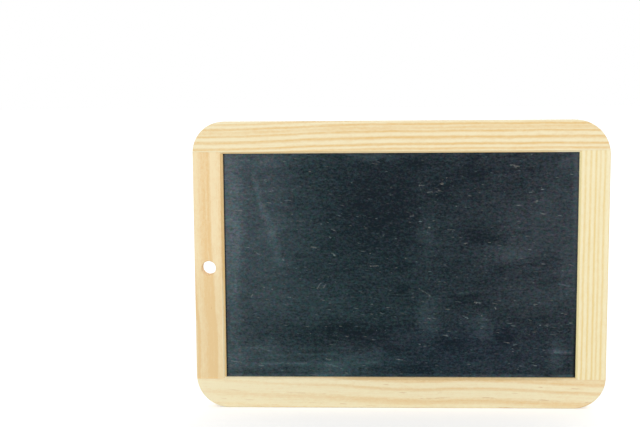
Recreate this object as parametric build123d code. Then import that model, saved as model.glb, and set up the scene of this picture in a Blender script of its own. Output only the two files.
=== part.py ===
from build123d import *
from math import sin
import os

# Slate writing board: a slate panel held in the grooves of a jointed pine frame.
# Sizes are millimetres. The board stands on its long lower edge, with +X to the right, +Z up,
# the plain face towards -Y and the ruled face towards +Y. The origin is under its middle.

# Board outline
board_width = 260.0
board_height = 183.0
frame_thickness = 8.0
top_left_radius = 19.5          # the corners were rounded by hand, so each has its own radius
top_right_radius = 22.0
bottom_left_radius = 21.0
bottom_right_radius = 20.0
arris_radius = 1.0              # sanded round along the outer edges

# Frame members
rail_width = 20.0
stile_width = 19.0
rail_chamfer = 1.2              # along the inner edges, on both faces
left_stile_chamfer = 1.7
right_stile_chamfer = 1.0
groove_depth = 4.0

# Slate
slate_thickness = 3.4
slate_face_clearance = 0.15     # between the slate and the groove, on each face
slate_edge_clearance = 0.5      # left for the wood to move, at both ends and at the top

# Corner joints
tenon_clearance = 0.05          # glue line on each face of a tenon
shoulder_gap = 0.12             # between a stile's shoulder and the rail

# Hanging hole
hole_diameter = 9.0
hole_inset = 9.0                # from the left edge of the board to the middle of the hole
hole_below_middle = 1.0
hole_rim_chamfer = 0.4

# Ruled grid
ruling_pitch = 10.0
ruling_start = 1.0              # first line, from the left stile and from the top rail
ruling_drift = 0.5              # how far a line ruled by hand strays from the even pitch
ruling_drift_step = 2.4         # radians of the drift's wave from one line to the next
ruling_line_width = 0.4
ruling_line_depth = 0.15

# Worked out from the sizes above
groove_width = slate_thickness + 2 * slate_face_clearance
tenon_width = stile_width - groove_depth
tenon_thickness = groove_width - 2 * tenon_clearance
opening_width = board_width - 2 * stile_width
opening_height = board_height - 2 * rail_width
left_edge = -board_width / 2
middle_height = board_height / 2


def outline_plate():
    """The whole board as one plate, with its rounded corners and sanded outer edges."""
    outline = FilletPolyline(
        (left_edge, 0),
        (-left_edge, 0),
        (-left_edge, board_height),
        (left_edge, board_height),
        radius=[bottom_left_radius, bottom_right_radius, top_right_radius, top_left_radius],
        close=True,
    )
    plate = extrude(Plane.XZ * make_face(outline), frame_thickness / 2, both=True)
    return fillet(plate.faces().filter_by(Axis.Y).edges(), arris_radius)


def bar(width, length, chamfer):
    """A bar along X with its outer edge on Z = 0 and both arrises of its inner edge chamfered."""
    side = frame_thickness / 2
    section = Polyline(
        (-side, 0),
        (side, 0),
        (side, width - chamfer),
        (side - chamfer, width),
        (chamfer - side, width),
        (-side, width - chamfer),
        close=True,
    )
    return extrude(Plane.YZ * make_face(section), length / 2, both=True)


def groove(width, length):
    """The cut for the slate, along the inner edge of a bar of this width."""
    return Pos(0, 0, width) * Box(length, groove_width, 2 * groove_depth)


def turned_over(piece):
    """The piece mirrored from the lower half of the board to the upper half."""
    return mirror(piece, about=Plane.XY.offset(middle_height))


def rail():
    """The lower rail: grooved for the slate, with an open mortise at each end."""
    blank = bar(rail_width, board_width, rail_chamfer) - groove(rail_width, board_width)
    mortise = Box(2 * (tenon_width + tenon_clearance), groove_width, 2 * rail_width)
    return blank - Pos(left_edge, 0, 0) * mortise - Pos(-left_edge, 0, 0) * mortise


def stile(chamfer):
    """The left stile: shoulders coped over the rails, and one tenon through both mortises."""
    upright = Pos(left_edge, 0, middle_height) * Rot(0, 90, 0)
    blank = upright * (bar(stile_width, board_height, chamfer) - groove(stile_width, board_height))
    shoulder = bar(rail_width + shoulder_gap, board_width, rail_chamfer)
    between_rails = blank - shoulder - turned_over(shoulder)
    tenon = Pos(left_edge + tenon_width / 2, 0, middle_height)
    return between_rails + tenon * Box(tenon_width, tenon_thickness, board_height)


def hanging_hole():
    """The cut for the hole across the left stile, eased at both rims."""
    radius = hole_diameter / 2
    rim = Cone(radius, radius + 2 * hole_rim_chamfer, 2 * hole_rim_chamfer)
    front_rim = Pos(0, 0, frame_thickness / 2) * rim
    drill = Cylinder(radius, frame_thickness) + front_rim + mirror(front_rim, about=Plane.XY)
    return Pos(left_edge + hole_inset, 0, middle_height - hole_below_middle) * Rot(90, 0, 0) * drill


def ruled_lines(span):
    """Distances of the ruled lines from the edge of the opening, across this span."""
    count = round((span - ruling_start) / ruling_pitch)
    return [
        ruling_start + ruling_pitch * line + ruling_drift * sin(ruling_drift_step * line)
        for line in range(count)
    ]


def slate_panel():
    """The slate: it stands on the floor of the lower groove and is scored with a grid behind."""
    width = opening_width + 2 * (groove_depth - slate_edge_clearance)
    height = opening_height + 2 * groove_depth - slate_edge_clearance
    middle = rail_width - groove_depth + height / 2
    back = slate_thickness / 2
    upright_line = Box(ruling_line_width, 2 * ruling_line_depth, height)
    level_line = Box(width, 2 * ruling_line_depth, ruling_line_width)
    lines = []
    for distance in ruled_lines(opening_width):
        lines.append(Pos(distance - opening_width / 2, back, middle) * upright_line)
    for distance in ruled_lines(opening_height):
        lines.append(Pos(0, back, board_height - rail_width - distance) * level_line)
    return Pos(0, 0, middle) * Box(width, slate_thickness, height) - lines


outline_shape = outline_plate()
pieces = {
    "bottom_rail": rail() & outline_shape,
    "top_rail": turned_over(rail()) & outline_shape,
    "left_stile": (stile(left_stile_chamfer) & outline_shape) - hanging_hole(),
    "right_stile": mirror(stile(right_stile_chamfer), about=Plane.YZ) & outline_shape,
    "slate_panel": slate_panel(),
}

os.makedirs("parts", exist_ok=True)
for name, piece in pieces.items():
    export_step(piece, f"parts/{name}.step")
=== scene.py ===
import bpy
from math import radians
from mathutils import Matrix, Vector


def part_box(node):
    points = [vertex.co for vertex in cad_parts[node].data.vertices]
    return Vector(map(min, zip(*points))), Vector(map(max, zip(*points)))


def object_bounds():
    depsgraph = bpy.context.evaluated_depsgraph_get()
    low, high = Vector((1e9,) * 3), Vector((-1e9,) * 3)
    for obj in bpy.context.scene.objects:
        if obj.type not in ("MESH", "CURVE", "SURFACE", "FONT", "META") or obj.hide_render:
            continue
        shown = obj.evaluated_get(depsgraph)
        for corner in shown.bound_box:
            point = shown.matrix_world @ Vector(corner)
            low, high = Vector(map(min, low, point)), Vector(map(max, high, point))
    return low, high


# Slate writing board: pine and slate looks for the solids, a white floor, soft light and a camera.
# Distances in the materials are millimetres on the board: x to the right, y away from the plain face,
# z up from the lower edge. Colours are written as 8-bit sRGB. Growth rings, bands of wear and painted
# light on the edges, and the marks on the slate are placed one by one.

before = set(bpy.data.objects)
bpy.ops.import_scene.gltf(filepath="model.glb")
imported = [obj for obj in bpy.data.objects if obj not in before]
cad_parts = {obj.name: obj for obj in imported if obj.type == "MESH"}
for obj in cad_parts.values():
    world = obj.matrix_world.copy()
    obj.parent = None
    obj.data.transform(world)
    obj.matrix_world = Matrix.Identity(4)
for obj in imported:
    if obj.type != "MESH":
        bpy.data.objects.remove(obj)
cad_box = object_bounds()

METRE = 1000.0                  # in millimetres

# Places on the board, from the solids
board_low, board_high = (corner * METRE for corner in cad_box)
left_end, plain_face, foot = board_low
right_end, _, head = board_high
opening_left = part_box("left_stile")[1].x * METRE
opening_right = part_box("right_stile")[0].x * METRE
opening_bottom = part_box("bottom_rail")[1].z * METRE
opening_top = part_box("top_rail")[0].z * METRE
slate_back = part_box("slate_panel")[1].y * METRE


# Shader nodes

NOISE_SPREAD = 4.0              # a noise node gives about 0.25 to 0.75, and this widens it to -1 to 1
FLECK_DETAIL = 1.0
FLECK_ROUGHNESS = 0.5
FLECK_FADE = 0.35               # of the noise, from the rim of a fleck to its full strength

# Sockets of a Mix node for colours, by number, because its other kinds of socket have the same names
MIX_SHARE = 0
MIX_FIRST = 6
MIX_SECOND = 7
MIX_RESULT = 2


def linear(colour):
    """An 8-bit sRGB colour as the linear RGBA that a shader takes."""
    channels = []
    for value in colour:
        share = value / 255
        channels.append(share / 12.92 if share <= 0.04045 else ((share + 0.055) / 1.055) ** 2.4)
    return (*channels, 1.0)


class Shader:
    """A node material in the making, with short ways to add nodes and join them."""

    def __init__(self, name):
        self.material = bpy.data.materials.new(name)
        self.material.use_nodes = True
        self.tree = self.material.node_tree
        self.surface = self.tree.nodes["Principled BSDF"]

    def put(self, socket, value):
        """Joins a socket to an output, or sets it to a plain value."""
        if isinstance(value, bpy.types.NodeSocket):
            self.tree.links.new(value, socket)
        else:
            socket.default_value = value

    def put_all(self, node, inputs):
        """Joins or sets these inputs of a node."""
        for name, value in inputs.items():
            self.put(node.inputs[name], value)

    def add(self, kind, inputs=None, **settings):
        """A new node with these settings and inputs."""
        node = self.tree.nodes.new("ShaderNode" + kind)
        for name, value in settings.items():
            setattr(node, name, value)
        self.put_all(node, inputs or {})
        return node

    def math(self, operation, first, second=0.0, third=0.0):
        """One step of arithmetic."""
        return self.add("Math", {0: first, 1: second, 2: third}, operation=operation).outputs[0]

    def scaled(self, value, factor, offset=0.0):
        """A value times a factor plus an offset."""
        return self.math("MULTIPLY_ADD", value, factor, offset)

    def product(self, first, *others):
        """Values multiplied together."""
        for value in others:
            first = self.math("MULTIPLY", first, value)
        return first

    def plus(self, base, *parts):
        """A base plus (value, share) parts, each value times its share."""
        for value, share in parts:
            base = self.math("MULTIPLY_ADD", value, share, base)
        return base

    def between(self, value, low, high):
        """1 where a value lies between two limits, else 0."""
        return self.product(self.math("GREATER_THAN", value, low), self.math("LESS_THAN", value, high))

    def ramp(self, value, start, end, low=0.0, high=1.0):
        """Eases from low to high as the value goes from start to end, and is level beyond them.

        A smooth step needs no clamp to be level there. Each clamp would add a hidden node, and the
        slate's material, with several hundred nodes, has no room for them.
        """
        inputs = {"Value": value, "From Min": start, "From Max": end, "To Min": low, "To Max": high}
        return self.add("MapRange", inputs, interpolation_type="SMOOTHSTEP", clamp=False).outputs[0]

    def curve(self, value, points):
        """A smooth curve through (input, output) points, level beyond its ends."""
        first, last = points[0][0], points[-1][0]
        lowest = min(output for _, output in points)
        highest = max(output for _, output in points)
        share = self.add("MapRange", {"Value": value, "From Min": first, "From Max": last}).outputs[0]
        node = self.add("FloatCurve", {"Value": share})
        places = []
        for at, output in points:
            places.append(((at - first) / (last - first), (output - lowest) / (highest - lowest)))
        line = node.mapping.curves[0]
        line.points[0].location = places[0]
        line.points[1].location = places[-1]
        for place in places[1:-1]:
            line.points.new(*place)
        node.mapping.update()
        return self.scaled(node.outputs[0], highest - lowest, lowest)

    def mixed(self, share, first, second, blend="MIX"):
        """Two colours mixed by a share."""
        inputs = {MIX_SHARE: share, MIX_FIRST: first, MIX_SECOND: second}
        return self.add("Mix", inputs, data_type="RGBA", blend_type=blend).outputs[MIX_RESULT]

    def vector(self, *parts):
        """A vector from its parts. A part that isn't given is 0."""
        return self.add("CombineXYZ", dict(enumerate(parts))).outputs[0]

    def vector_math(self, operation, *vectors, output="Vector"):
        """One step of vector arithmetic."""
        return self.add("VectorMath", dict(enumerate(vectors)), operation=operation).outputs[output]

    def vector_times(self, vector, factor):
        """A vector times a number."""
        return self.add("VectorMath", {0: vector, "Scale": factor}, operation="SCALE").outputs[0]

    def place(self):
        """x, y and z on the board, in millimetres."""
        spot = self.add("TexCoord").outputs["Object"]
        return self.add("SeparateXYZ", {0: self.vector_times(spot, METRE)}).outputs[:3]

    def noise(self, x, y, z, sizes, detail, roughness, seed):
        """Noise from about -1 to 1 whose lumps have these sizes along the three directions."""
        shares = [self.scaled(value, 1 / size, seed) for value, size in zip((x, y, z), sizes)]
        inputs = {"Vector": self.vector(*shares), "Scale": 1.0, "Detail": detail, "Roughness": roughness}
        value = self.add("TexNoise", inputs).outputs[0]
        return self.scaled(value, NOISE_SPREAD, -NOISE_SPREAD / 2)

    def flecks(self, x, y, z, sizes, threshold, seed):
        """Scattered flecks of about these sizes, 1 in their middles, where noise passes a threshold."""
        value = self.noise(x, y, z, sizes, FLECK_DETAIL, FLECK_ROUGHNESS, seed)
        return self.ramp(value, threshold, threshold + FLECK_FADE)

    def finish(self, colour, roughness, specular, height, bump_height):
        """Joins colour, roughness, gloss and relief to the surface."""
        inputs = {"Height": height, "Strength": 1.0, "Distance": bump_height / METRE}
        bump = self.add("Bump", inputs).outputs[0]
        self.put_all(self.surface, {
            "Base Color": colour, "Roughness": roughness, "Specular IOR Level": specular, "Normal": bump,
        })
        return self.material


# Pine

# Noise in the wood: sizes along the grain, across it and through the board, detail, roughness, seed
wood_noises = {
    "wave": ((38, 14, 14), 1.0, 0.5, 0),
    "ripple": ((9, 5, 5), 1.0, 0.5, 3),
    "strength": ((22, 1.6, 8), 2.0, 0.5, 7),
    "fibre": ((24, 0.8, 0.8), 3.0, 0.6, 11),
    "mottle": ((3.5, 1.5, 1.5), 3.0, 0.9, 17),
    "canal": ((11, 2, 2), 2.0, 0.6, 23),
}
wave_height = 0.2               # how far the rings stray sideways
ripple_height = 0.09
ring_unevenness = 0.15
fibre_share = 0.2
canal_colour = (202, 144, 78)
canal_fade = 0.3                # of the noise, from the end of a dash to its full strength
canal_core = 0.05               # full strength this far from the line of the canals
canal_reach = 0.45              # and none from here on
band_raggedness = 0.2
band_fade = 0.25                # to each side of a band's outer edge
pine_roughness = 0.55
pine_roughness_spread = 0.05
pine_specular = 0.2
ring_relief = 0.5
pine_bump = 0.02


class PineShader(Shader):
    """The material of one frame member in the making. Its rings lie at depths from its outer edge."""

    def __init__(self, name, grain_along_x, outer_edge, inner_edge, seed):
        super().__init__(name)
        x, self.y, z = self.place()
        self.along, across = (x, z) if grain_along_x else (z, x)
        self.opening = (opening_left, opening_right) if grain_along_x else (opening_bottom, opening_top)
        self.width = abs(inner_edge - outer_edge)
        self.seed = seed
        inwards = 1 if inner_edge > outer_edge else -1
        self.distance = self.scaled(across, inwards, -inwards * outer_edge)

    def wood_noise(self, kind, across_grain, step=0):
        """One of the noises in the wood, at this distance across the grain."""
        sizes, detail, roughness, seed = wood_noises[kind]
        seed += self.seed + step
        return self.noise(self.along, across_grain, self.y, sizes, detail, roughness, seed)

    def ring_depth(self, bend, tilt):
        """Depth among the rings, which bend along the member and lean by the tilt through it.

        Both faces and the edges take it from here, so that they show one piece of wood.
        """
        depth = self.math("SUBTRACT", self.distance, self.curve(self.along, bend))
        depth = self.math("ADD", depth, self.scaled(self.y, tilt, -tilt * plain_face))
        depth = self.plus(depth, (self.wood_noise("wave", self.distance), wave_height))
        return self.plus(depth, (self.wood_noise("ripple", self.distance), ripple_height))

    def growth_rings(self, depth, rings):
        """Tone from 0 in the pale wood to 1 in the darkest ring."""
        tone = None
        for middle, slow_side, quick_side, darkness in rings:
            rise = self.ramp(depth, middle - slow_side, middle, 0.0, darkness)
            fall = self.ramp(depth, middle, middle + quick_side, 1.0, 0.0)
            ring = self.product(rise, fall)
            tone = ring if tone is None else self.math("MAXIMUM", tone, ring)
        return tone

    def resin_canals(self, depth, lines):
        """Short dark dashes, 1 in their middles, strung along lines among the rings."""
        dashes = None
        for number, (middle, threshold) in enumerate(lines):
            off_line = self.math("ABSOLUTE", self.scaled(depth, 1.0, -middle))
            dash = self.ramp(self.wood_noise("canal", depth, number), threshold, threshold + canal_fade)
            dash = self.product(dash, self.ramp(off_line, canal_core, canal_reach, 1.0, 0.0))
            dashes = dash if dashes is None else self.math("MAXIMUM", dashes, dash)
        return dashes

    def edge_wear_and_light(self, colour, mottle, bands):
        """The colour with ragged bands of wear, painted highlight and painted shadow laid over it along
        the opening.
        """
        at_opening = self.between(self.along, *self.opening)
        ragged_distance = self.plus(self.distance, (mottle, band_raggedness))
        for reach, band_colour, shares in bands:
            band_start = self.width - reach
            band = self.ramp(ragged_distance, band_start - band_fade, band_start + band_fade)
            share = self.product(band, self.curve(self.along, shares), at_opening)
            colour = self.mixed(share, colour, linear(band_colour))
        return colour


def pine(name, grain_along_x, outer_edge, inner_edge, seed, rings, bend, tilt, contrast, toning, mottling,
         pale, dark, canals, canal_share, wear_and_light_bands):
    """Pine of one frame member."""
    shader = PineShader(name, grain_along_x, outer_edge, inner_edge, seed)
    depth = shader.ring_depth(bend, tilt)
    tone = shader.growth_rings(depth, rings)
    unevenness = (shader.wood_noise("strength", depth), ring_unevenness)
    strength = shader.plus(shader.curve(shader.along, contrast), unevenness)
    fibre = shader.wood_noise("fibre", shader.distance)
    mottle = shader.wood_noise("mottle", shader.distance)
    tone = shader.product(tone, strength)
    tone = shader.math("ADD", tone, shader.curve(shader.along, toning))
    tone = shader.plus(tone, (fibre, fibre_share), (mottle, mottling))
    colour = shader.mixed(tone, linear(pale), linear(dark))

    dashes = shader.product(shader.resin_canals(depth, canals), strength)
    colour = shader.mixed(shader.scaled(dashes, canal_share), colour, linear(canal_colour))
    colour = shader.edge_wear_and_light(colour, mottle, wear_and_light_bands)

    roughness = shader.scaled(fibre, pine_roughness_spread, pine_roughness)
    height = shader.plus(fibre, (tone, ring_relief))
    return shader.finish(colour, roughness, pine_specular, height, pine_bump)


# Looks of the frame members. What their lists hold:
# rings: depth, width of the side that darkens slowly, width of the side that ends the ring, tone
# bend, contrast, toning: points of a curve, each a place along the member and an amount
# canals: depth, and a threshold that leaves fewer dashes the higher it is
# wear_and_light_bands: how far a band reaches out from the opening, its colour, and its share along the
# member; some bands are wear, some are painted highlight or painted shadow
pine_looks = {
    "top_rail": dict(
        grain_along_x=True, outer_edge=head, inner_edge=opening_top, tilt=0.35, seed=1.0,
        rings=(
            (-0.9, 1.2, 1.6, 0.65),
            (2.2, 1.5, 1.5, 0.85),
            (4.2, 2.0, 3.0, 0.55),
            (6.5, 1.3, 1.5, 0.82),
            (10.3, 1.5, 2.1, 0.86),
            (14.5, 1.4, 1.5, 0.9),
            (17.4, 1.3, 1.7, 0.72),
            (20.9, 1.2, 1.5, 0.8),
        ),
        bend=(
            (left_end, 2.9), (-104, 2.75), (-76, 1.95), (-44, 0.8), (0, 0), (50, -0.25), (90, -0.3),
            (right_end, -0.1),
        ),
        contrast=((left_end, 0.85), (-60, 0.9), (0, 1.0), (right_end, 0.97)),
        toning=((left_end, -0.03), (0, 0.04), (right_end, 0.02)),
        pale=(250, 237, 198), dark=(237, 200, 137),
        canals=((9.6, 0.55), (13.9, 0.8)), canal_share=0.25, mottling=0.25,
        wear_and_light_bands=(
            (1.2, (250, 214, 152), ((left_end, 0.45), (right_end, 0.5))),
            (0.9, (255, 248, 212), ((left_end, 0.0), (92, 0.0), (99, 0.7), (right_end, 0.8))),
        ),
    ),
    "bottom_rail": dict(
        grain_along_x=True, outer_edge=foot, inner_edge=opening_bottom, tilt=0.5, seed=5.0,
        rings=(
            (-2.5, 1.6, 1.8, 0.6),
            (4.8, 3.8, 3.2, 0.68),
            (12.7, 2.0, 1.6, 0.66),
            (18.0, 1.8, 5.5, 0.7),
            (23.0, 4.0, 1.6, 0.75),
        ),
        bend=(
            (left_end, 6.8), (-104, 4.7), (-71, 3.0), (-44, 2.2), (-16, 0.5), (11, -0.5), (44, 0.2),
            (66, -0.2), (99, -1.7), (right_end, -3.4),
        ),
        contrast=((left_end, 0.5), (-60, 0.6), (0, 1.0), (right_end, 1.0)),
        toning=((left_end, -0.09), (0, 0.06), (85, 0.02), (104, 0.12), (right_end, 0.08)),
        pale=(249, 237, 199), dark=(238, 206, 152),
        canals=((0.9, 0.3), (6.9, 0.15), (10.4, 0.4), (15.4, 0.4)), canal_share=0.45, mottling=0.28,
        wear_and_light_bands=(
            (1.8, (208, 174, 118), (
                (left_end, 0.05), (-50, 0.1), (-18, 0.55), (40, 0.5), (88, 0.4), (104, 0.05),
            )),
            (0.2, (128, 122, 94), ((left_end, 0.5), (right_end, 0.7))),
        ),
    ),
    "left_stile": dict(
        grain_along_x=False, outer_edge=left_end, inner_edge=opening_left, tilt=0.6, seed=9.0,
        rings=(
            (-1.0, 1.5, 1.8, 0.9),
            (7.4, 6.3, 3.2, 0.85),
            (10.0, 3.5, 1.9, 1.0),
            (18.0, 4.5, 1.5, 0.55),
            (23.0, 3.0, 1.5, 0.8),
        ),
        bend=(
            (foot, 2.4), (20, 2.6), (45, 2.9), (65, 1.6), (97, 0.5), (115, 0.0), (163, -0.4),
            (head, -0.4),
        ),
        contrast=((foot, 1.0), (head, 0.95)),
        toning=((foot, 0.3), (60, 0.3), (110, 0.05), (head, 0.0)),
        pale=(250, 230, 187), dark=(241, 206, 150),
        canals=((8.6, 0.6), (13.2, 0.7), (16.0, 0.7)), canal_share=0.55, mottling=0.42,
        wear_and_light_bands=(
            (20.0, (222, 204, 160), ((foot, 0.22), (60, 0.2), (110, 0.0), (head, 0.0))),
            # painted highlight: a pale band that lightens the shaded chamfer low on the stile
            (2.0, (255, 244, 206), ((foot, 0.5), (70, 0.5), (100, 0.0), (head, 0.0))),
            (1.6, (236, 188, 108), ((foot, 0.0), (60, 0.0), (110, 0.4), (head, 0.45))),
            (0.9, (244, 196, 108), ((foot, 0.5), (80, 0.5), (110, 0.15), (head, 0.0))),
            # painted shadow: a thin dark brown line next to the slate, strongest towards the head
            (0.5, (170, 116, 58), ((foot, 0.15), (90, 0.12), (head, 0.3))),
        ),
    ),
    "right_stile": dict(
        grain_along_x=False, outer_edge=right_end, inner_edge=opening_right, tilt=-0.25, seed=13.0,
        rings=(
            (-1.5, 1.3, 0.7, 0.85),
            (0.4, 0.9, 0.6, 0.5),
            (3.8, 1.3, 1.1, 0.9),
            (6.7, 1.3, 1.1, 0.7),
            (9.2, 1.3, 1.1, 1.0),
            (12.5, 1.4, 1.1, 0.9),
            (15.7, 1.4, 1.1, 0.85),
            (18.5, 1.2, 1.0, 0.7),
        ),
        bend=((foot, 0.3), (45, 0.15), (90, 0.0), (140, -0.25), (head, -0.2)),
        contrast=((foot, 1.0), (head, 0.85)),
        toning=((foot, 0.12), (60, 0.1), (head, 0.0)),
        pale=(252, 240, 200), dark=(242, 217, 154),
        canals=((5.6, 0.9), (11.5, 0.9)), canal_share=0.25, mottling=0.28,
        # painted highlight: a pale yellow band that lightens the shaded chamfer
        wear_and_light_bands=((1.1, (255, 242, 182), ((foot, 0.8), (head, 0.5))),),
    ),
}


# Slate. A fade is a stretch of noise values over which something grows from none to full, or from the
# third value to the fourth where there are four. Other fades have a comment of their own.

# Noise in the stone and the chalk: sizes along x, y and z, detail, roughness, seed
slate_noises = {
    "sway": ((16, 40, 11), 4.0, 0.7, 2.0),
    "cloud": ((10, 40, 6), 2.0, 0.7, 4.0),
    "smudge": ((20, 40, 5), 4.0, 0.65, 37.0),
    "streak": ((18, 3, 0.9), 4.0, 0.65, 12.0),
    "wipe": ((9, 3, 1.8), 2.0, 0.6, 27.0),
    "grain": ((2.2, 2.0, 1.3), 2.0, 0.9, 19.0),
    "ragged": ((7, 7, 2), 3.0, 0.7, 51.0),
    "tint": ((2.4, 2.0, 2.0), 2.0, 0.8, 61.0),
    "blue": ((2.4, 2.0, 2.2), 2.0, 0.8, 71.0),
    "line": ((26, 3, 18), 3.0, 0.7, 101.0),
}

# Patches and strokes
sway_reach_x = 6.0              # how far the outlines of patches stray
sway_reach_z = 4.0
sway_seed_step = 29.0           # between the noises of the two directions
patch_fade = (0.15, 1.2)        # a patch fades out between these shares of its half width and height
stroke_fade = 1.6               # a stroke has faded out at this share of its half width

# Haze of old chalk on the faces, and bare places in it. The strong patches at the left are partly painted
# sheen, lighter towards the left on both faces. Each: middle x and z, half width and height, strength
front_haze_and_sheen = (
    # partly painted sheen: the next three patches lighten the left of the plain face
    (-111, 130, 15, 76, 0.36),
    (-108, 45, 12, 50, 0.16),
    (-92, 110, 34, 80, 0.2),
    (-58, 68, 34, 18, 0.08),
    (-92, 32, 40, 14, 0.16),
    (-32, 32, 32, 7, 0.13),
    (17, 110, 8, 18, 0.08),
    (18, 60, 10, 15, 0.12),
    (51, 53, 10, 11, 0.07),
    (66, 100, 24, 8, 0.1),
    (95, 122, 42, 50, 0.1),
    (99, 36, 9, 13, 0.14),
    (-18, 161, 20, 4, 0.15),
    (105, 157, 8, 7, 0.12),
    (-88, 160, 42, 8, 0.17),
    (-44, 24, 26, 6, 0.2),
    (88, 71, 30, 12, 0.08),
    (106, 90, 6, 30, 0.08),
    (-58, 112, 12, 24, 0.05),
    (-77, 118, 7, 6, 0.07),
    (57, 74, 8, 6, 0.05),
    (-80, 146, 34, 14, 0.05),
)
front_bare = (
    (-12, 128, 36, 42, 0.08),
    (46, 150, 12, 9, 0.07),
    (12, 156, 12, 6, 0.05),
    (50, 109, 20, 5, 0.03),
    (48, 115, 12, 5, 0.03),
    (1, 91, 14, 4, 0.05),
    (1, 76, 6, 6, 0.06),
    (41, 70, 14, 4, 0.05),
    (-30, 50, 46, 7, 0.07),
    (67, 46, 9, 10, 0.09),
    (34, 40, 14, 8, 0.06),
    (14, 25, 16, 6, 0.06),
    (89, 95, 13, 5, 0.06),
    (28, 142, 14, 16, 0.06),
    (78, 146, 18, 18, 0.06),
    (-25, 44, 14, 5, 0.05),
    (-5, 38, 9, 5, 0.06),
)
back_haze_and_sheen = (
    # partly painted sheen: the next two patches lighten the left of the ruled face
    (-82, 55, 48, 60, 0.14),
    (-85, 130, 45, 50, 0.08),
    (-12, 50, 34, 42, -0.06),
    (70, 120, 45, 40, 0.05),
)
even_haze = 0.1                 # all over both faces

# Smears and scratches in the haze: start x and z, end x and z, half width, strength
front_strokes = (
    (-92, 149, -87, 130, 2.0, 0.13),
    (-87, 130, -81, 113, 2.8, 0.14),
    (-81, 113, -77, 94, 3.2, 0.1),
    (-105, 71, -103, 118, 2.4, 0.07),
    (-102.5, 112, -102, 100, 1.2, 0.1),
    (-104.5, 88, -104, 76, 0.7, 0.1),
    (-108, 52, -107.5, 43, 0.8, 0.1),
    (-108, 27, -12, 29, 1.4, 0.09),
    (-88.5, 28.5, -61, 28.5, 0.7, 0.16),
    (-45.5, 28, -40, 26.5, 0.5, 0.2),
    (-104, 38.5, -30, 39, 1.2, 0.05),
    (-96.5, 38.5, -88, 39, 0.6, 0.1),
    (-90, 33, -40, 35, 0.8, 0.07),
    (101, 70, 102, 91, 0.8, 0.08),
    (100, 80, 106.5, 78.5, 0.6, 0.28),
    (98.5, 36.5, 107.5, 36, 1.3, 0.26),
    (31, 72, 49, 72.5, 0.9, -0.07),
    (36, 70, 55, 66, 1.6, -0.03),
    (36, 74, 43, 74.5, 0.6, 0.09),
    (44, 108, 65.5, 107, 2.4, -0.05),
    (44, 113, 58, 111, 3.6, -0.03),
    (48.5, 57.5, 57, 57, 0.9, 0.12),
    (52.5, 57, 52, 45, 1.8, 0.06),
    (45, 46.5, 58, 47, 1.2, 0.05),
)

# How much each noise varies the haze, as a share of it and by itself
haze_unevenness = {"streak": 0.06, "cloud": 0.07, "wipe": 0.1, "grain": 0.2}
haze_noise = {"smudge": 0.034, "wipe": 0.032, "grain": 0.118}

# Dust along the edges of the opening, and painted shadow on the slate beside the stiles. Shares are
# points of a curve along the edge.
edge_core = 0.2                 # full strength this close to an edge
level_dust_reach = 2.6
right_dust_reach = 5.0
lower_dust_fade = (-0.9, 0.7)
upper_dust_fade = (-0.2, 0.8)
upper_dust_share = 0.24
lower_dust_shares = (
    (opening_left, 0.42), (-50, 0.4), (-10, 0.24), (30, 0.24), (70, 0.44), (opening_right, 0.36),
)
right_dust_shares = (
    (opening_bottom, 0.1), (70, 0.1), (110, 0.15), (130, 0.2), (opening_top, 0.24),
)
# painted shadow: dark lines on the slate beside the stiles, the right one wider and darker low down
left_shadow_reach = 1.3
right_shadow_reach = 2.1
right_shadow_fade = (35.0, 70.0, 1.2, 0.3)       # from this height to that, from this share to that
painted_shadow_share = 0.8
painted_shadow_colour = (11, 13, 15)

# Colours, from the greener stone and chalk to the greyer ones
stone_colours = ((17, 30, 36), (21, 29, 37))
chalk_colours = ((97, 122, 128), (109, 121, 128))
grey_shares = (
    (opening_left, 0.45), (-90, 0.25), (-70, 0.07), (-50, -0.18), (-15, -0.18), (15, 0.08), (45, 0.34),
    (75, 0.58), (opening_right, 0.62),
)
grey_by_height = 0.003
grey_by_cloud = 0.1
grey_places = (
    (-12, 134, 34, 36, 0.4),
    (-18, 42, 46, 12, 0.6),
)
blue_places = ((40, 36, 80, 24, 0.25),)
tint_range = ((0.58, 1.1, 0.97, 1.0), (1.42, 0.9, 1.03, 1.0))       # factors for red, green and blue
blue_range = ((1.04, 1.02, 0.8, 1.0), (0.96, 0.98, 1.2, 1.0))

# Mineral flakes of three kinds: sizes along x, y and z, threshold, seed
flat_flakes = ((4.6, 3.0, 0.9), 0.82, 6.0)
short_flakes = ((2.0, 2.0, 1.1), 0.97, 41.0)
small_flakes = ((2.8, 2.0, 0.8), 0.72, 97.0)
flake_lean = 0.1                # slope of the flat and the small ones
flake_fade = (-0.7, 0.7, 0.18, 0.58)
flake_colours = ((156, 151, 142), (140, 161, 165))
flake_colour_fade = (-0.5, 0.5)

# Places where flakes crowd: middle x and z, half width and height, strength
flake_crowds = (
    (24, 140, 16, 12, 1.0),
    (68, 152, 10, 6, 0.8),
    (84, 138, 12, 8, 0.9),
    (-44, 118, 14, 10, 0.7),
    (22, 112, 14, 14, 0.8),
    (-10, 92, 20, 8, 0.8),
    (-43, 78, 14, 7, 0.7),
    (16, 74, 8, 8, 0.6),
    (-72, 72, 14, 6, 0.6),
    (48, 56, 14, 8, 0.9),
    (90, 54, 16, 10, 0.9),
    (70, 40, 8, 6, 0.8),
    (18, 54, 10, 12, 0.7),
    (-60, 28, 40, 8, 0.4),
)
crowd_fade = (0.1, 0.7)         # crowding grows between these sums of the strengths
uncrowded_share = 0.75
crowded_gain = 0.35

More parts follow.
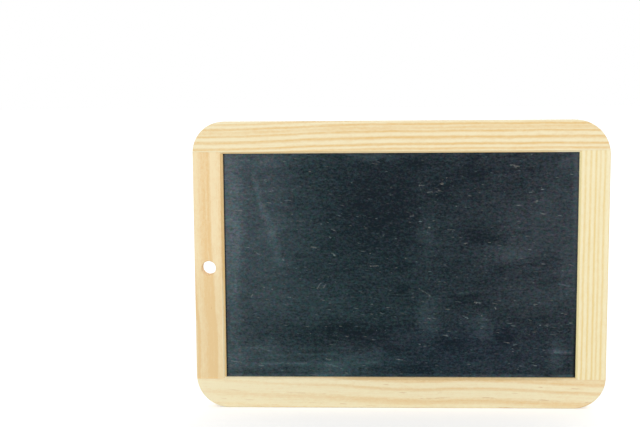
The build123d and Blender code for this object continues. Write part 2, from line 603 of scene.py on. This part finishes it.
# The longest flakes, on the plain face: start x and z, end x and z, strength
long_flakes = (
    (68.5, 155, 74, 154, 0.35),
    (12, 142.5, 15, 142.5, 0.4),
    (-95, 142, -94, 142, 0.4),
    (-106.5, 139, -106, 139.5, 0.35),
    (17, 138, 20, 138.5, 0.4),
    (80.5, 138, 82.5, 138, 0.5),
    (84, 132, 85.5, 132.5, 0.4),
    (-104, 127, -99.5, 127, 0.3),
    (6.5, 123, 8.5, 123.5, 0.35),
    (-65, 120, -60, 120, 0.2),
    (-43, 115, -41, 114, 0.4),
    (30, 114.5, 32.5, 114.5, 0.35),
    (-44.5, 110, -43.5, 109.5, 0.4),
    (40, 105.5, 42, 106, 0.45),
    (-56, 103.5, -53, 103.5, 0.3),
    (-92, 101, -89, 99, 0.3),
    (-43, 99.5, -41, 98.5, 0.45),
    (-74, 96, -73.5, 95.5, 0.35),
    (-18.5, 91.5, -13.5, 91.5, 0.35),
    (-52.5, 77, -50, 80.5, 0.3),
    (-48.5, 77.5, -47, 79.5, 0.3),
    (13.5, 76, 19, 72.5, 0.3),
    (-94.5, 72, -93.5, 73, 0.35),
    (-71, 71.5, -69.5, 71.5, 0.4),
    (-85, 70, -83, 69.5, 0.3),
    (47, 68, 51, 68, 0.45),
    (84.5, 67, 86.5, 66.5, 0.4),
    (60, 65, 60.5, 64, 0.5),
    (40, 59.5, 42.5, 58.5, 0.4),
    (72, 41, 74, 41, 0.4),
    (-47, 31.5, -44, 31, 0.45),
    (-107.5, 30, -101.5, 29, 0.35),
    (-90, 27, -87.5, 27, 0.4),
)
long_flake_half_width = 0.35
long_flake_shake = 0.7          # how far the grain shakes their outlines
long_flake_fade = (-0.6, 0.5, 0.6, 1.0)

# Scored lines
score_start = 0.04              # below the ruled face, where the pale colour starts
score_end = 0.6                 # and where it ends, deeper than any groove
score_fade = (-0.7, 0.7, 0.45, 0.9)
score_colour = (150, 160, 162)

slate_roughness = 0.6
slate_roughness_gain = 0.2      # in full haze
slate_specular = 0.05
streak_relief = 0.5
slate_bump = 0.02


class SlateShader(Shader):
    """The slate's material in the making, with its noises and its marks."""

    def __init__(self, name):
        super().__init__(name)
        self.x, self.y, self.z = self.place()
        self.behind = self.math("GREATER_THAN", self.y, 0.0)
        self.in_front = self.math("SUBTRACT", 1.0, self.behind)
        swayed_x = self.plus(self.x, (self.stone_noise("sway"), sway_reach_x))
        swayed_z = self.plus(self.z, (self.stone_noise("sway", sway_seed_step), sway_reach_z))
        self.swayed = self.vector(swayed_x, swayed_z)
        self.straight = self.vector(self.x, self.z)
        self.noises = {}
        for kind in ("cloud", "smudge", "streak", "wipe", "grain"):
            self.noises[kind] = self.stone_noise(kind)

    def stone_noise(self, kind, step=0.0):
        """One of the noises in the stone."""
        sizes, detail, roughness, seed = slate_noises[kind]
        return self.noise(self.x, self.y, self.z, sizes, detail, roughness, seed + step)

    def stone_share(self, kind):
        """One of the noises in the stone, from about 0 to 1."""
        return self.scaled(self.stone_noise(kind), 0.5, 0.5)

    def noise_parts(self, shares):
        """The noises of these kinds, each with its share."""
        return [(self.noises[kind], share) for kind, share in shares.items()]

    def patches(self, places):
        """Soft patches with wandering outlines, added up."""
        total = None
        for middle_x, middle_z, half_width, half_height, amount in places:
            scale = (1 / half_width, 1 / half_height, 0)
            offset = (-middle_x / half_width, -middle_z / half_height, 0)
            near = self.vector_math("MULTIPLY_ADD", self.swayed, scale, offset)
            reach = self.vector_math("LENGTH", near, output="Value")
            patch = self.ramp(reach, *patch_fade, amount, 0.0)
            total = patch if total is None else self.math("ADD", total, patch)
        return total

    def strokes(self, lines, spot):
        """Straight strokes that fade out sideways, added up."""
        total = None
        for start_x, start_z, end_x, end_z, half_width, amount in lines:
            run = Vector((end_x - start_x, end_z - start_z, 0))
            from_start = self.vector_math("SUBTRACT", spot, (start_x, start_z, 0))
            passed = self.vector_math("DOT_PRODUCT", from_start, run, output="Value")
            passed = self.scaled(passed, 1 / run.length_squared)
            passed = self.math("MINIMUM", self.math("MAXIMUM", passed, 0.0), 1.0)
            nearest = self.vector_times(run, passed)
            reach = self.vector_math("DISTANCE", from_start, nearest, output="Value")
            stroke = self.ramp(reach, 0.0, half_width * stroke_fade, amount, 0.0)
            total = stroke if total is None else self.math("ADD", total, stroke)
        return total

    def wiped_haze_and_sheen(self):
        """How much old chalk the cloth has left, with a painted sheen towards the left: 0 is bare stone
        and 1 is chalk.
        """
        front = self.math("SUBTRACT", self.patches(front_haze_and_sheen), self.patches(front_bare))
        front = self.math("ADD", front, self.strokes(front_strokes, self.straight))
        haze_and_sheen = self.product(front, self.in_front)
        haze_and_sheen = self.plus(haze_and_sheen, (self.patches(back_haze_and_sheen), self.behind))
        uneven = self.plus(1.0, *self.noise_parts(haze_unevenness))
        haze_and_sheen = self.product(self.scaled(haze_and_sheen, 1.0, even_haze), uneven)
        return self.plus(haze_and_sheen, *self.noise_parts(haze_noise))

    def edge_share(self, value, edge, reach):
        """1 at an edge of the opening, easing to 0 this far from it."""
        away = self.math("ABSOLUTE", self.scaled(value, 1.0, -edge))
        return self.ramp(away, edge_core, reach, 1.0, 0.0)

    def dust(self):
        """Chalk dust along the lower, upper and right edges of the plain face."""
        ragged = self.stone_noise("ragged")
        lower = self.edge_share(self.z, opening_bottom, level_dust_reach)
        lower = self.product(lower, self.ramp(ragged, *lower_dust_fade))
        lower = self.product(lower, self.curve(self.x, lower_dust_shares))
        upper = self.edge_share(self.z, opening_top, level_dust_reach)
        upper = self.product(upper, self.ramp(ragged, *upper_dust_fade))
        right = self.edge_share(self.x, opening_right, right_dust_reach)
        right = self.product(right, self.curve(self.z, right_dust_shares))
        dust = self.math("ADD", self.plus(lower, (upper, upper_dust_share)), right)
        return self.product(dust, self.in_front)

    def painted_edge_shadow(self):
        """Painted shadow on the slate beside the stiles, darkest low on the right."""
        right = self.edge_share(self.x, opening_right, right_shadow_reach)
        right = self.product(right, self.ramp(self.z, *right_shadow_fade))
        left = self.edge_share(self.x, opening_left, left_shadow_reach)
        return self.scaled(self.math("MAXIMUM", left, right), painted_shadow_share)

    def stone(self, haze_and_sheen):
        """Colour of the stone under this haze and painted sheen, from greener to greyer and with a fine
        change of tint.
        """
        greyer = self.plus(self.curve(self.x, grey_shares), (self.z, grey_by_height))
        greyer = self.math("ADD", greyer, self.patches(grey_places))
        greyer = self.plus(greyer, (self.noises["cloud"], grey_by_cloud))
        bare = self.mixed(greyer, *map(linear, stone_colours))
        chalk = self.mixed(greyer, *map(linear, chalk_colours))
        colour = self.mixed(haze_and_sheen, bare, chalk)
        tint = self.mixed(self.stone_share("tint"), *tint_range)
        colour = self.mixed(1.0, colour, tint, "MULTIPLY")
        bluer = self.math("ADD", self.stone_share("blue"), self.patches(blue_places))
        return self.mixed(1.0, colour, self.mixed(bluer, *blue_range), "MULTIPLY")

    def scattered_flakes(self):
        """Pale mineral flakes on both faces, more of them where they crowd."""
        leaning = self.plus(self.z, (self.x, flake_lean))
        flat = self.flecks(self.x, self.y, leaning, *flat_flakes)
        short = self.flecks(self.x, self.y, self.z, *short_flakes)
        small = self.flecks(self.x, self.y, leaning, *small_flakes)
        crowding = self.ramp(self.patches(flake_crowds), *crowd_fade)
        flakes = self.math("MAXIMUM", flat, short)
        flakes = self.product(flakes, self.scaled(crowding, crowded_gain, uncrowded_share))
        flakes = self.math("MAXIMUM", flakes, self.product(small, crowding))
        return self.product(flakes, self.ramp(self.noises["wipe"], *flake_fade))

    def longest_flakes(self):
        """The long flakes of the plain face, with ragged outlines."""
        shaken_z = self.plus(self.z, (self.noises["grain"], long_flake_shake))
        lines = [(*ends, long_flake_half_width, amount) for *ends, amount in long_flakes]
        flakes = self.strokes(lines, self.vector(self.x, shaken_z))
        return self.product(flakes, self.in_front, self.ramp(self.noises["wipe"], *long_flake_fade))

    def scored_lines(self):
        """Share of the pale colour in the ruled grooves, which varies from place to place."""
        scored = self.between(self.y, slate_back - score_end, slate_back - score_start)
        return self.product(scored, self.ramp(self.stone_noise("line"), *score_fade))


def slate():
    """Slate with a haze of old chalk and a painted sheen at the left, pale mineral flakes and dust,
    painted shadow beside the stiles, and pale scored lines behind.
    """
    shader = SlateShader("slate_wiped")
    haze_and_sheen = shader.wiped_haze_and_sheen()
    haze_and_sheen = shader.math("ADD", shader.dust(), haze_and_sheen)
    # painted shadow beside the stiles, laid over the stone's colour
    painted_edge_shadow = shader.painted_edge_shadow()
    colour = shader.mixed(painted_edge_shadow, shader.stone(haze_and_sheen), linear(painted_shadow_colour))

    flakes = shader.math("MAXIMUM", shader.scattered_flakes(), shader.longest_flakes())
    flake_tint = shader.ramp(shader.noises["cloud"], *flake_colour_fade)
    flake_colour = shader.mixed(flake_tint, *map(linear, flake_colours))
    colour = shader.mixed(flakes, colour, flake_colour)
    colour = shader.mixed(shader.scored_lines(), colour, linear(score_colour))

    roughness = shader.scaled(haze_and_sheen, slate_roughness_gain, slate_roughness)
    height = shader.plus(shader.noises["grain"], (shader.noises["streak"], streak_relief))
    return shader.finish(colour, roughness, slate_specular, height, slate_bump)


# Materials on the solids

def dress(node, material):
    """Gives a solid its material."""
    node.data.materials.clear()
    node.data.materials.append(material)


for node_name, look in pine_looks.items():
    dress(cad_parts[node_name], pine("pine_" + node_name, **look))
dress(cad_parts["slate_panel"], slate())


# Floor and light. The background is white in the view and in gloss, whatever light it gives the board.

white = (1.0, 1.0, 1.0, 1.0)
floor_half = 20.0               # metres
floor_grey = (0.85, 0.85, 0.85, 1.0)
floor_roughness = 0.9
floor_glow = 0.4                # only in the view and in gloss
ambient = 0.72                  # strength of the world as a light


def seen_directly(tree):
    """1 for rays that show the background itself, in the view, in gloss and through glass."""
    path = tree.nodes.new("ShaderNodeLightPath")
    seen = path.outputs["Is Camera Ray"]
    for name in ("Is Glossy Ray", "Is Transmission Ray"):
        either = tree.nodes.new("ShaderNodeMath")
        either.operation = "MAXIMUM"
        tree.links.new(seen, either.inputs[0])
        tree.links.new(path.outputs[name], either.inputs[1])
        seen = either.outputs[0]
    return seen


def floor_material():
    """A matt white floor that keeps the board's shadow."""
    shader = Shader("floor_white")
    glow = shader.scaled(seen_directly(shader.tree), floor_glow)
    shader.put_all(shader.surface, {
        "Base Color": floor_grey, "Roughness": floor_roughness, "Specular IOR Level": 0.0,
        "Emission Color": white, "Emission Strength": glow,
    })
    return shader.material


def light_world():
    """Even white light from all around."""
    world = bpy.data.worlds.new("studio")
    bpy.context.scene.world = world
    world.use_nodes = True
    tree = world.node_tree
    background = tree.nodes["Background"]
    background.inputs["Color"].default_value = white
    level = tree.nodes.new("ShaderNodeMapRange")
    level.inputs["To Min"].default_value = ambient
    level.inputs["To Max"].default_value = 1.0
    tree.links.new(seen_directly(tree), level.inputs["Value"])
    tree.links.new(level.outputs[0], background.inputs["Strength"])


def sun_lamp(name, strength, softness, direction):
    """A lamp far away, this many degrees wide, shining along this direction."""
    data = bpy.data.lights.new(name, "SUN")
    data.energy = strength
    data.angle = radians(softness)
    lamp = bpy.data.objects.new(name, data)
    bpy.context.scene.collection.objects.link(lamp)
    lamp.rotation_euler = Vector(direction).to_track_quat("-Z", "Y").to_euler()


floor_mesh = bpy.data.meshes.new("floor")
corner_signs = ((-1, -1), (1, -1), (1, 1), (-1, 1))
floor_corners = [(x * floor_half, y * floor_half, 0) for x, y in corner_signs]
floor_mesh.from_pydata(floor_corners, [], [(0, 1, 2, 3)])
floor_mesh.materials.append(floor_material())
floor = bpy.data.objects.new("floor", floor_mesh)
bpy.context.scene.collection.objects.link(floor)

light_world()
sun_lamp("key", strength=0.86, softness=40.0, direction=(0.1, 1.0, -0.25))
sun_lamp("back_fill", strength=0.8, softness=60.0, direction=(-0.3, -1.0, -0.45))


# Camera

image_width = 640               # pixels
focal_pixels = 1050.0
camera_place = (-0.0245, -0.6586, 0.1969)       # metres
camera_turn = (83.757, 0.4, 2.203)              # degrees about x, y and z

camera_data = bpy.data.cameras.new("camera")
camera_data.lens = focal_pixels / image_width * camera_data.sensor_width
camera = bpy.data.objects.new("camera", camera_data)
bpy.context.scene.collection.objects.link(camera)
camera.location = camera_place
camera.rotation_euler = [radians(angle) for angle in camera_turn]
bpy.context.scene.camera = camera
bpy.context.scene.view_settings.view_transform = "Standard"
